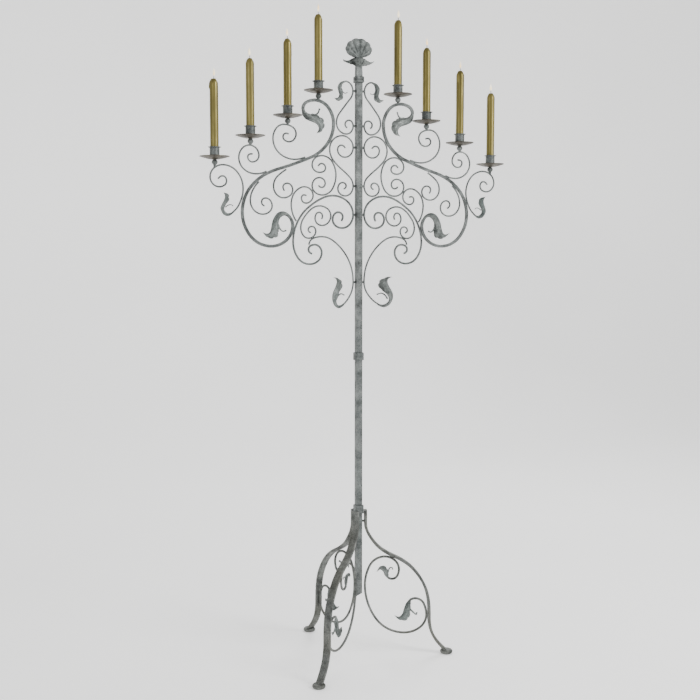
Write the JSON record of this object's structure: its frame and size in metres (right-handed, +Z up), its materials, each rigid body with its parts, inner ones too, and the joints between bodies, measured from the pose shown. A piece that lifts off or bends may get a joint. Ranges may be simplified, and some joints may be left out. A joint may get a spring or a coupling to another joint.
{
  "type": "floor candelabrum",
  "caption": "Tall wrought iron floor candelabrum: a scroll-legged tripod base, a square post, two mirrored scrollwork arms with taper candles, and a shell finial.",
  "frame": {"origin": "at floor level, under the centre of the whole object", "axes": "+Z up; X along the two arms; -Y is the side the shell finial faces. The post's axis is parallel to Z at Y = -0.031 m."},
  "size_m": [0.8383, 0.4376, 1.6984],
  "materials": {
    "iron": "forged iron, waxed, mottled grey with a blue-green cast",
    "leaf_iron": "forged iron with verdigris-coloured highlights and dark recesses",
    "holder_iron": "dark brown-black iron, satin",
    "base_iron": "forged iron, olive-grey patches",
    "wax": "metallic gold wax, satin"
  },
  "bodies": {
    "base": {"post_lower": "iron", "spigot": "iron", "mid_collar": "iron", "base_collar": "iron", "leg_right": "base_iron", "leg_back": "base_iron", "leg_front": "base_iron", "feet": "base_iron", "leg_scrolls": "base_iron", "leg_leaves": "leaf_iron", "leg_pegs": "base_iron"},
    "top": {"post_upper": "iron", "finial_collar": "iron", "finial_neck": "iron", "finial_leaves": "leaf_iron", "finial_shell": "leaf_iron", "post_pegs": "iron", "main_arm_left": "iron", "main_arm_right": "iron", "crown_scroll_left": "iron", "crown_scroll_right": "iron", "post_scroll_left": "iron", "post_scroll_right": "iron", "c_scroll_left": "iron", "c_scroll_right": "iron", "lower_arm_left": "iron", "lower_arm_right": "iron", "core_scroll_left": "iron", "core_scroll_right": "iron", "bridge_scroll_left": "iron", "bridge_scroll_right": "iron", "cup_scroll_inner_left": "iron", "cup_scroll_inner_right": "iron", "cup_scroll_outer_left": "iron", "cup_scroll_outer_right": "iron", "hanging_scroll_inner_left": "iron", "hanging_scroll_inner_right": "iron", "hanging_scroll_outer_left": "iron", "hanging_scroll_outer_right": "iron", "outer_scroll_left": "iron", "outer_scroll_right": "iron", "bracket_scroll_left": "iron", "bracket_scroll_right": "iron", "crown_leaves": "leaf_iron", "arm_top_leaves": "leaf_iron", "arm_bottom_leaves": "leaf_iron", "outer_leaves": "leaf_iron", "bracket_leaves": "leaf_iron", "candle_cups": "iron", "drip_pans": "holder_iron", "knops": "iron", "holder_screws": "holder_iron"},
    "candle_left_1": {"candle_left_1": "wax"},
    "candle_left_2": {"candle_left_2": "wax"},
    "candle_left_3": {"candle_left_3": "wax"},
    "candle_left_4": {"candle_left_4": "wax"},
    "candle_right_1": {"candle_right_1": "wax"},
    "candle_right_2": {"candle_right_2": "wax"},
    "candle_right_3": {"candle_right_3": "wax"},
    "candle_right_4": {"candle_right_4": "wax"}
  },
  "joints": [
    {"name": "upper_stand_lift", "type": "slide", "parent": "base", "child": "top", "axis": [0, 0, 1], "range_m": [0, 0.1]},
    {"name": "candle_left_1_lift", "type": "slide", "parent": "top", "child": "candle_left_1", "axis": [0, 0, 1], "range_m": [0, 0.06]},
    {"name": "candle_left_2_lift", "type": "slide", "parent": "top", "child": "candle_left_2", "axis": [0, 0, 1], "range_m": [0, 0.06]},
    {"name": "candle_left_3_lift", "type": "slide", "parent": "top", "child": "candle_left_3", "axis": [0, 0, 1], "range_m": [0, 0.06]},
    {"name": "candle_left_4_lift", "type": "slide", "parent": "top", "child": "candle_left_4", "axis": [0, 0, 1], "range_m": [0, 0.06]},
    {"name": "candle_right_1_lift", "type": "slide", "parent": "top", "child": "candle_right_1", "axis": [0, 0, 1], "range_m": [0, 0.06]},
    {"name": "candle_right_2_lift", "type": "slide", "parent": "top", "child": "candle_right_2", "axis": [0, 0, 1], "range_m": [0, 0.06]},
    {"name": "candle_right_3_lift", "type": "slide", "parent": "top", "child": "candle_right_3", "axis": [0, 0, 1], "range_m": [0, 0.06]},
    {"name": "candle_right_4_lift", "type": "slide", "parent": "top", "child": "candle_right_4", "axis": [0, 0, 1], "range_m": [0, 0.06]}
  ]
}
